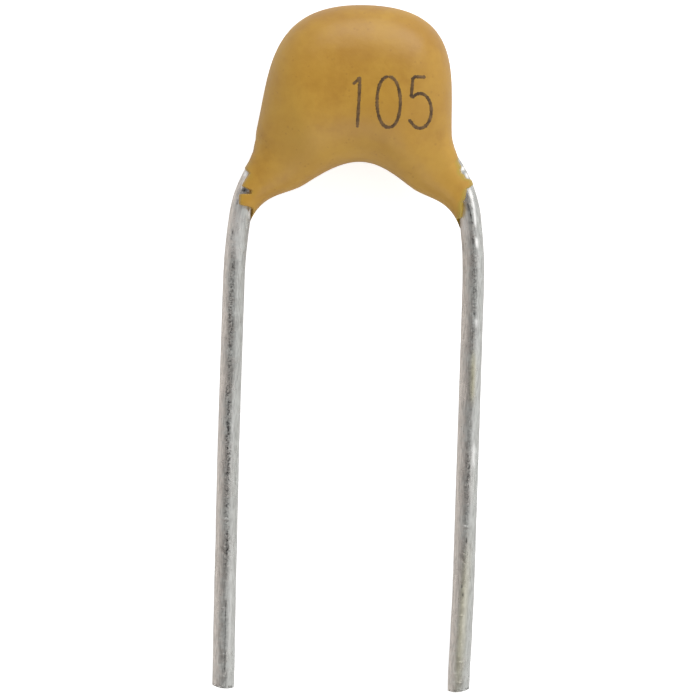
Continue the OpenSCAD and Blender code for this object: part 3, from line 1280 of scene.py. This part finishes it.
@dataclass(frozen=True)
class TinnedWireFinish:
    """Hot-tinned wire: metal drawn in streaks, warm on one side, and worn in a band of grain.

    The band's grain is dark where it is high and bright where it is low. Marks darken the tin,
    partly as painted shade, lay painted highlights on it in matt white, or tarnish it; patterns
    and depths are as in EpoxyFinish.
    """

    name: str = "tinned_wire"
    cool: Colour = (0.71, 0.72, 0.69)
    warm: Colour = (0.79, 0.72, 0.66)
    olive: Colour = (0.78, 0.74, 0.52)
    pit: Colour = (0.15, 0.14, 0.12)
    dark: Colour = (0.035, 0.033, 0.035)
    # Colour of the bright flecks in the worn band, and of the painted highlights.
    bright: Colour = (0.97, 0.96, 0.94)
    streak_share: float = 0.34
    pit_share: float = 0.38
    speck_share: float = 0.94
    fleck_share: float = 0.85
    olive_share: float = 0.8
    streak_scale: float = 34.0
    stretch: float = 0.12
    patches: Pair = (1.7, 0.8)
    pits: Pair = (15.0, 0.3)
    grain: Triple = (24.0, 3.0, 0.62)
    lumps: Triple = (5.0, 3.0, 0.55)
    speck_step: Pair = (0.47, 0.58)
    fleck_step: Pair = (0.40, 0.33)
    flank_step: Pair = (0.20, -0.12)
    streak_step: Pair = (0.62, 0.36)
    flank_waver: float = 0.16
    score_grain: float = 0.4
    lump_depth: float = 0.000030
    streak_depth: float = 0.000007
    speck_depth: float = 0.000002
    roughness: float = 0.27
    rougher: float = 0.12

    def make(self, effects: Effects) -> bpy.types.Material:
        """Builds the material from the shared groups and the wire's own coordinates."""
        finish = Finish(self.name, effects, "along")
        graph = finish.graph
        wear = finish.attribute("wear")
        marks = graph.parts(finish.attribute("marks", "Vector"))
        streaks = finish.effect(effects.drawn, Scale=self.streak_scale, Stretch=self.stretch)
        patches = finish.mottle(*self.patches)
        grain = finish.noise(*self.grain)
        high = graph.step(grain, *self.speck_step)
        specks = graph.math("MULTIPLY", high, wear)
        flecks = graph.math("MULTIPLY", graph.step(grain, *self.fleck_step), wear)
        broken = graph.line(high, self.score_grain, 1 - self.score_grain)
        dark_mark_and_shade = graph.math("MULTIPLY", marks["X"], broken)
        side = graph.line(patches, self.flank_waver, graph.parts(finish.here)["X"])
        colour = graph.blend(graph.step(side, *self.flank_step), self.cool, self.warm)
        shade = graph.step(streaks, *self.streak_step)
        colour = graph.wash(colour, self.pit, shade, self.streak_share)
        colour = graph.wash(colour, self.pit, finish.pits(*self.pits), self.pit_share)
        colour = graph.wash(colour, self.dark, specks, self.speck_share)
        colour = graph.wash(colour, self.bright, flecks, self.fleck_share)
        colour = graph.wash(colour, self.olive, marks["Z"], self.olive_share)
        # Painted highlights and painted light: the bright marks turn the tin matt white.
        colour = graph.blend(marks["Y"], colour, self.bright)
        # Dark marks: dark spots and streaks, and painted shade in a dent and in a hollow of the
        # coat.
        colour = graph.blend(dark_mark_and_shade, colour, self.dark)
        normal = finish.bump(finish.noise(*self.lumps), self.lump_depth)
        normal = finish.bump(streaks, self.streak_depth, under=normal)
        normal = finish.bump(graph.rest(specks), self.speck_depth, under=normal)
        rough = graph.line(patches, self.rougher, self.roughness)
        # Painted highlights are not metal, so that they show white whatever the tin reflects.
        metal = graph.rest(marks["Y"])
        return finish.set(Base_Color=colour, Roughness=rough, Metallic=metal, Normal=normal)


@dataclass(frozen=True)
class PlainFinish:
    """One colour clouded by another, with a fine grain.

    A finish that has a pitting is metal: it is pitted too, and its gloss is clouded. Patterns
    and depths are as in EpoxyFinish.
    """

    name: str
    ground: Colour
    cloud: Colour
    roughness: float
    depth: float
    clouds: Pair = (2500.0, 0.6)
    grain: Triple = (22000.0, 3.0, 0.6)
    pitting: float | None = None
    pit_scale: float = 12000.0
    rougher: float = 0.1

    def make(self, effects: Effects) -> bpy.types.Material:
        """Builds the material from the shared groups."""
        finish = Finish(self.name, effects)
        clouds = finish.mottle(*self.clouds)
        colour = finish.graph.blend(clouds, self.ground, self.cloud)
        normal = finish.bump(finish.noise(*self.grain), self.depth)
        if self.pitting is None:
            return finish.set(Base_Color=colour, Roughness=self.roughness, Normal=normal)
        pits = finish.graph.rest(finish.pits(self.pit_scale, self.pitting))
        normal = finish.bump(pits, self.depth, under=normal)
        rough = finish.graph.line(clouds, self.rougher, self.roughness)
        return finish.set(Base_Color=colour, Roughness=rough, Normal=normal, Metallic=1.0)


BURNT_INK = PlainFinish(
    "burnt_brown",
    ground=(0.066, 0.032, 0.006),
    cloud=(0.175, 0.096, 0.028),
    roughness=0.6,
    depth=0.000004,
    clouds=(9000.0, 0.8),
    grain=(26000.0, 2.0, 0.6),
)
INNER_FINISHES = {
    Slot.CERAMIC: PlainFinish(
        "fired_ceramic",
        ground=(0.49, 0.39, 0.27),
        cloud=(0.38, 0.29, 0.19),
        roughness=0.7,
        depth=0.000003,
        clouds=(1500.0, 0.6),
        grain=(30000.0, 3.0, 0.6),
    ),
    Slot.TERMINATION: PlainFinish(
        "matt_tin", (0.74, 0.74, 0.73), (0.60, 0.60, 0.59), 0.45, 0.000004, pitting=0.2
    ),
    Slot.SOLDER: PlainFinish(
        "dull_solder", (0.62, 0.62, 0.64), (0.44, 0.44, 0.46), 0.35, 0.000006, pitting=0.4
    ),
    Slot.PLATE: PlainFinish(
        "fired_nickel", (0.50, 0.50, 0.51), (0.40, 0.39, 0.39), 0.5, 0.000002, pitting=0.1
    ),
}


# ---------------------------------------------------------------- studio


@dataclass(frozen=True)
class SoftLight:
    """A rectangular soft light that faces the part from a bearing and a height, in degrees.

    Its power is 4 x radiance x area.
    """

    name: str
    bearing: float
    height: float
    distance: float
    width: float
    depth: float
    radiance: float
    mirrored: bool = True

    def build(self, target: Vector) -> None:
        """Hangs the light.

        Args:
            target: the point that it faces, in metres.
        """
        data = bpy.data.lights.new(self.name, "AREA")
        data.shape = "RECTANGLE"
        data.size, data.size_y = self.width, self.depth
        data.energy = self.radiance * 4 * self.width * self.depth
        light = bpy.data.objects.new(self.name, data)
        bearing, height = math.radians(self.bearing), math.radians(self.height)
        flat = math.cos(height)
        out = Vector((math.cos(bearing) * flat, math.sin(bearing) * flat, math.sin(height)))
        light.location = target + out * self.distance
        light.rotation_euler = out.to_track_quat("Z", "Y").to_euler()
        light.visible_camera = False
        light.visible_glossy = self.mirrored
        bpy.context.scene.collection.objects.link(light)


@dataclass(frozen=True)
class Studio:
    """Floor, sky, lights and camera.

    The floor and the lights are in metres, and the camera's frame and aim in millimetres.
    """

    floor_size: float = 1.2
    floor_colour: Colour = (0.80, 0.80, 0.80)
    floor_lift: float = 0.64
    sky_colour: tuple[float, float, float, float] = (0.80, 0.80, 0.80, 1.0)
    horizon: float = 0.86
    zenith: float = 0.30
    fall: float = 1.5
    side_bias: float = 0.01
    dark_share: float = 0.34
    dark_width: float = 0.22
    dark_rise: Pair = (0.3, 0.7)
    lens: float = 135.0
    sensor: float = 36.0
    frame_width: float = 14.848
    aim: Pair = (-0.021, -2.706)
    roll: float = 1.84
    lights: tuple[SoftLight, ...] = (
        SoftLight("right_bank", 0, 38, 0.30, 0.30, 0.46, 0.14),
        SoftLight("right_fill", 0, 30, 0.30, 0.30, 0.46, 0.40, mirrored=False),
        SoftLight("head_bank", 75, 38, 0.30, 0.30, 0.20, 2.60),
        SoftLight("foot_bank", -90, 40, 0.30, 0.30, 0.20, 1.05),
    )

    def build(self, seat: Seat) -> None:
        """Sets up everything round the part.

        Args:
            seat: carries the drawing into the row frame.
        """
        target = Vector(seat.place(np.array([*self.aim, 0.0])))
        self.build_floor()
        self.build_sky()
        for light in self.lights:
            light.build(target)
        self.build_camera(seat, target)
        bpy.context.scene.view_settings.view_transform = "Standard"

    def build_floor(self) -> None:
        """A pale floor at z = 0, lifted towards white where it is seen, that still takes shadow."""
        corners = self.floor_size / 2 * np.array([(-1, -1, 0), (1, -1, 0), (1, 1, 0), (-1, 1, 0)])
        floor = make_piece("floor", corners, [np.array([[0, 1, 2, 3]])], smooth=False)
        material = bpy.data.materials.new("pale_floor")
        material.use_nodes = True
        graph = Graph(material.node_tree)
        diffuse = graph.add("ShaderNodeBsdfDiffuse", Color=(*self.floor_colour, 1.0))
        rays = graph.add("ShaderNodeLightPath").outputs
        seen = graph.math("MAXIMUM", rays["Is Camera Ray"], rays["Is Transmission Ray"])
        lift = graph.math("MULTIPLY", seen, self.floor_lift)
        glow = graph.add("ShaderNodeEmission", Strength=lift)
        lit = graph.join("ShaderNodeAddShader", diffuse, glow)
        graph.show("ShaderNodeOutputMaterial", lit)
        floor.data.materials.append(material)

    def build_sky(self) -> None:
        """A bright horizon over a grey ceiling with a darker band along it, and white behind.

        The strength is (horizon - (horizon - zenith) z^fall) (1 + bias x) (1 - share b), with
        b = exp(-(x / width)^2), eased in over the band's rise.
        """
        world = bpy.data.worlds.new("studio_sky")
        bpy.context.scene.world = world
        world.use_nodes = True
        graph = Graph(world.node_tree)
        way = graph.parts(graph.add("ShaderNodeTexCoord").outputs["Generated"])
        rise = graph.math("POWER", graph.math("MAXIMUM", way["Z"], 0.0), self.fall)
        dim = graph.math("MULTIPLY", rise, self.horizon - self.zenith)
        bias = graph.line(way["X"], self.side_bias, 1.0)
        strength = graph.math("MULTIPLY", graph.math("SUBTRACT", self.horizon, dim), bias)
        off = graph.math("POWER", graph.math("DIVIDE", way["X"], self.dark_width), 2.0)
        band = graph.math("EXPONENT", graph.math("MULTIPLY", off, -1.0))
        band = graph.math("MULTIPLY", band, graph.step(way["Z"], *self.dark_rise))
        keep = graph.rest(graph.math("MULTIPLY", band, self.dark_share))
        strength = graph.math("MULTIPLY", strength, keep)
        dome = graph.add("ShaderNodeBackground", Color=self.sky_colour, Strength=strength)
        backdrop = graph.add("ShaderNodeBackground", Color=(1.0, 1.0, 1.0, 1.0), Strength=1.0)
        mixed = graph.join("ShaderNodeMixShader", dome, backdrop)
        seen = graph.add("ShaderNodeLightPath").outputs["Is Camera Ray"]
        graph.feed(mixed.inputs["Fac"], seen)
        graph.show("ShaderNodeOutputWorld", mixed)

    def build_camera(self, seat: Seat, target: Vector) -> None:
        """Looks square at the part's face, rolled a little.

        Args:
            seat: carries the drawing into the row frame.
            target: the point that the camera looks at, in metres.
        """
        data = bpy.data.cameras.new("camera")
        data.lens = self.lens
        data.sensor_width = self.sensor
        roll = math.radians(self.roll)
        right = seat.direction(math.cos(roll), math.sin(roll), 0.0)
        up = seat.direction(-math.sin(roll), math.cos(roll), 0.0)
        back = seat.direction(0.0, 0.0, 1.0)
        distance = self.frame_width * MM * self.lens / self.sensor
        data.clip_start = distance / 20
        data.clip_end = 10.0
        camera = bpy.data.objects.new("camera", data)
        turn = Matrix((right, up, back)).transposed().to_4x4()
        camera.matrix_world = Matrix.Translation(target + back * distance) @ turn
        bpy.context.scene.collection.objects.link(camera)
        bpy.context.scene.camera = camera


# ---------------------------------------------------------------- whole part


LEFT_DRIFT = (
    (-9.5, 0.057), (-8.6, 0.042), (-7.3, 0.030), (-6.0, 0.018), (-4.75, 0.007), (-1.0, 0.009),
    (0.3, 0.013), (0.8, 0.024), (1.2, 0.030),
)
RIGHT_DRIFT = (
    (-9.5, 0.03), (-8.6, 0.01), (-7.7, -0.006), (-0.6, -0.008), (0.1, 0.004), (1.2, 0.008),
)
LEFT_HEM = Hem(
    (
        (-0.04, -0.285), (0.11, -0.270), (0.26, -0.240), (0.285, -0.200), (0.29, 0.035),
        (0.306, 0.045), (0.477, 0.090), (0.511, 0.030), (0.555, -0.112), (0.635, -0.104),
        (0.65, 0.105), (0.80, 0.090), (0.885, 0.075), (0.925, 0.080), (0.943, 0.125),
        (0.955, 0.190), (0.977, 0.204), (1.048, 0.220), (1.12, 0.250),
    ),
    LEFT_DRIFT,
    skin=((1.10, -0.015), (1.277, 0.018)),
    flank_y=1.66,
    tint=0.3,
)
RIGHT_HEM = Hem(
    (
        (-0.05, -0.300), (0.185, -0.295), (0.205, -0.190), (0.289, -0.165), (0.352, -0.150),
        (0.456, -0.130), (0.548, -0.098), (0.557, -0.066), (0.601, -0.031), (0.69, 0.020),
        (0.757, 0.070), (0.768, 0.144), (0.785, 0.200), (0.80, 0.250), (0.87, 0.250),
        (0.894, 0.210), (0.923, 0.150), (0.943, 0.126), (1.01, 0.130), (1.05, 0.100),
        (1.09, 0.100), (1.13, 0.118), (1.15, 0.160), (1.24, 0.170), (1.27, 0.185),
        (1.30, 0.260),
    ),
    RIGHT_DRIFT,
    skin=((0.90, -0.005), (1.10, -0.035), (1.277, -0.035)),
    flank_y=1.62,
)
LEFT_WEAR = (
    (-9.7, 0.20), (-7.6, 0.15), (-7.1, 0.85), (-6.4, 0.75), (-5.2, 0.95), (-3.9, 1.00),
    (-3.0, 0.65), (-2.3, 0.85), (-1.5, 0.75), (-0.8, 0.45), (-0.1, 0.10),
)
LEFT_WEAR_REACH = (
    (-9.8, -0.09), (-7.9, -0.07), (-6.9, -0.05), (-5.5, -0.02), (-3.3, 0.015), (-1.0, 0.02),
    (-0.3, 0.08),
)
RIGHT_WEAR = (
    (-9.5, 0.10), (-7.5, 0.25), (-6.5, 0.35), (-5.3, 0.55), (-4.0, 0.25), (-2.2, 0.45),
    (-1.0, 0.55), (-0.3, 0.30), (0.3, 0.0),
)
RIGHT_WEAR_REACH = ((-9.5, -0.02), (-5.2, 0.02), (-1.4, 0.03))
# Bright marks on both wires are painted highlights and painted light; some dark marks are painted
# shade.
LEFT_MARKS = (
    Mark(DARK, 0.318, 0.085, 0.055, 0.012),
    # Painted shadow inside the hollow where the coat leaves the wire, and a painted glint in it.
    Mark(DARK, 0.592, 0.018, 0.036, 0.060),
    Mark(BRIGHT, 0.606, -0.088, 0.040, 0.030),
    Mark(BRIGHT, 0.880, 0.130, 0.050, 0.040),
    Mark(BRIGHT, 0.700, 0.095, 0.120, 0.018),
    Mark(BRIGHT, 0.170, -0.205, 0.120, 0.018),
    Mark(BRIGHT, -0.22, 0.000, 0.600, 0.110, strength=0.34),
    Mark(BRIGHT, -1.00, -0.080, 0.900, 0.060, strength=0.12),
    Mark(BRIGHT, -4.90, -0.085, 1.300, 0.040, strength=0.22),
    Mark(BRIGHT, -8.00, -0.160, 1.600, 0.050, 0.013, 0.24),
    Mark(DARK, -0.30, 0.085, 0.05, 0.018),
    Mark(DARK, -0.42, 0.100, 0.03, 0.014),
    Mark(DARK, -1.02, 0.010, 0.05, 0.014),
    Mark(DARK, -3.95, 0.014, 0.12, 0.020, 0.02),
    Mark(DARK, -4.40, -0.004, 0.16, 0.024, 0.02),
    Mark(DARK, -4.75, -0.012, 0.06, 0.018),
    Mark(DARK, -5.3, -0.022, 0.16, 0.016),
    Mark(DARK, -6.95, -0.055, 0.20, 0.018),
    Mark(DARK, -8.55, -0.075, 0.40, 0.009, 0.013),
    Mark(DARK, -9.35, -0.085, 0.25, 0.007, 0.013),
)
RIGHT_MARKS = (
    Mark(DARK, 0.400, -0.012, 0.085, 0.026, -0.03),
    Mark(DARK, 0.250, 0.000, 0.110, 0.018, -0.05),
    # Painted highlights on the wire where the thin coat leaves it.
    Mark(BRIGHT, 1.115, 0.170, 0.035, 0.040),
    Mark(BRIGHT, 0.975, 0.175, 0.050, 0.030),
    Mark(BRIGHT, 0.670, 0.105, 0.12, 0.034),
    Mark(BRIGHT, 0.480, 0.100, 0.16, 0.024),
    Mark(BRIGHT, 0.150, 0.086, 0.19, 0.024, 0.03),
    Mark(DARK, 0.080, -0.030, 0.020, 0.030),
    Mark(DARK, 0.060, 0.020, 0.025, 0.014),
    # Painted shade in a dent, and a painted glint beside it.
    Mark(DARK, -0.355, 0.002, 0.08, 0.022),
    Mark(BRIGHT, -0.36, 0.084, 0.10, 0.030),
    Mark(DARK, -1.36, 0.058, 0.05, 0.014),
    Mark(DARK, -1.83, 0.035, 0.07, 0.014),
    Mark(BRIGHT, -2.04, 0.091, 0.08, 0.030, strength=0.5),
    Mark(BRIGHT, -4.85, 0.128, 0.24, 0.036, strength=0.5),
    Mark(DARK, -5.10, 0.035, 0.06, 0.012, 0.2),
    Mark(DARK, -5.28, 0.020, 0.08, 0.022, 0.2),
    Mark(DARK, -6.65, 0.027, 0.08, 0.012),
    Mark(DARK, -7.62, -0.040, 0.04, 0.012),
    Mark(DARK, -7.80, -0.010, 0.04, 0.012),
    Mark(OLIVE, -8.35, -0.005, 1.45, 0.080, 0.035),
    Mark(OLIVE, -3.2, 0.05, 0.5, 0.060),
    # Painted light that lifts the shade on the wire under the web.
    Mark(BRIGHT, 0.02, -0.140, 0.260, 0.080, strength=0.25),
    Mark(BRIGHT, -0.70, 0.110, 0.700, 0.040, strength=0.18),
    Mark(BRIGHT, -2.60, 0.105, 1.100, 0.050, strength=0.16),
    Mark(BRIGHT, -5.10, 0.095, 1.100, 0.045, strength=0.26),
    Mark(BRIGHT, -8.00, 0.030, 1.500, 0.050, 0.030, 0.30),
)


@dataclass(frozen=True)
class Capacitor:
    """The whole part: its forms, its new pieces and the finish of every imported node."""

    lead: LeadForm
    seat: Seat
    effects: Effects

    def build(self) -> None:
        """Builds and dresses every piece in order."""
        self.dress_packed_nodes()
        wire = TinnedWireFinish().make(self.effects)
        left = (self.lead, Side.LEFT, LEFT_DRIFT, LEFT_WEAR, LEFT_WEAR_REACH, LEFT_MARKS)
        right = (self.lead, Side.RIGHT, RIGHT_DRIFT, RIGHT_WEAR, RIGHT_WEAR_REACH, RIGHT_MARKS)
        leads = (Lead(*left, tip_cut=0.05, short=0.0), Lead(*right, tip_cut=0.07, short=0.075))
        for lead in leads:
            dress(lead.build(self.seat), wire, Slot.WIRE, f"{lead.side.word}_lead")
        form = CoatForm(self.lead, {Side.LEFT: LEFT_HEM, Side.RIGHT: RIGHT_HEM})
        epoxy = EpoxyFinish().make(self.effects)
        dress(Coat(form).build(self.seat), epoxy, Slot.COATING, "epoxy_coating")
        burnt = BURNT_INK.make(self.effects)
        for digit in ValueCode(form).build(self.seat):
            dress(digit, burnt, Slot.COATING)

    def dress_packed_nodes(self) -> None:
        """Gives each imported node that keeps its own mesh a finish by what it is."""
        finishes = {slot: plain.make(self.effects) for slot, plain in INNER_FINISHES.items()}
        for name, node in frame["nodes"].items():
            slot = next((slot for slot in finishes if slot.value in name), None)
            if slot is None:
                continue
            node.data.materials.clear()
            node.data.materials.append(finishes[slot])
            log.info("%s: packed mesh, %s", name, finishes[slot].name)


def main() -> None:
    """Builds the studio and the part."""
    logging.basicConfig(level=logging.INFO, format="%(name)s: %(message)s")
    pins = {mount["name"]: mount for mount in frame["record"]["mounts"]}
    pin = pins["right_lead_pin"]
    diameter = 2 * pin["dims"]["r_mm"]
    lead = LeadForm(pitch=2 * pin["pos_m"][0] / MM, diameter=diameter)
    chamfer = 0.05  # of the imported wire's tip, in millimetres
    pin_y = -lead.length + chamfer + pin["dims"]["length_mm"] / 2
    seat = Seat.from_pin(pin, pin_y)
    Studio().build(seat)
    Capacitor(lead, seat, Effects()).build()


if __name__ == "__main__":
    main()
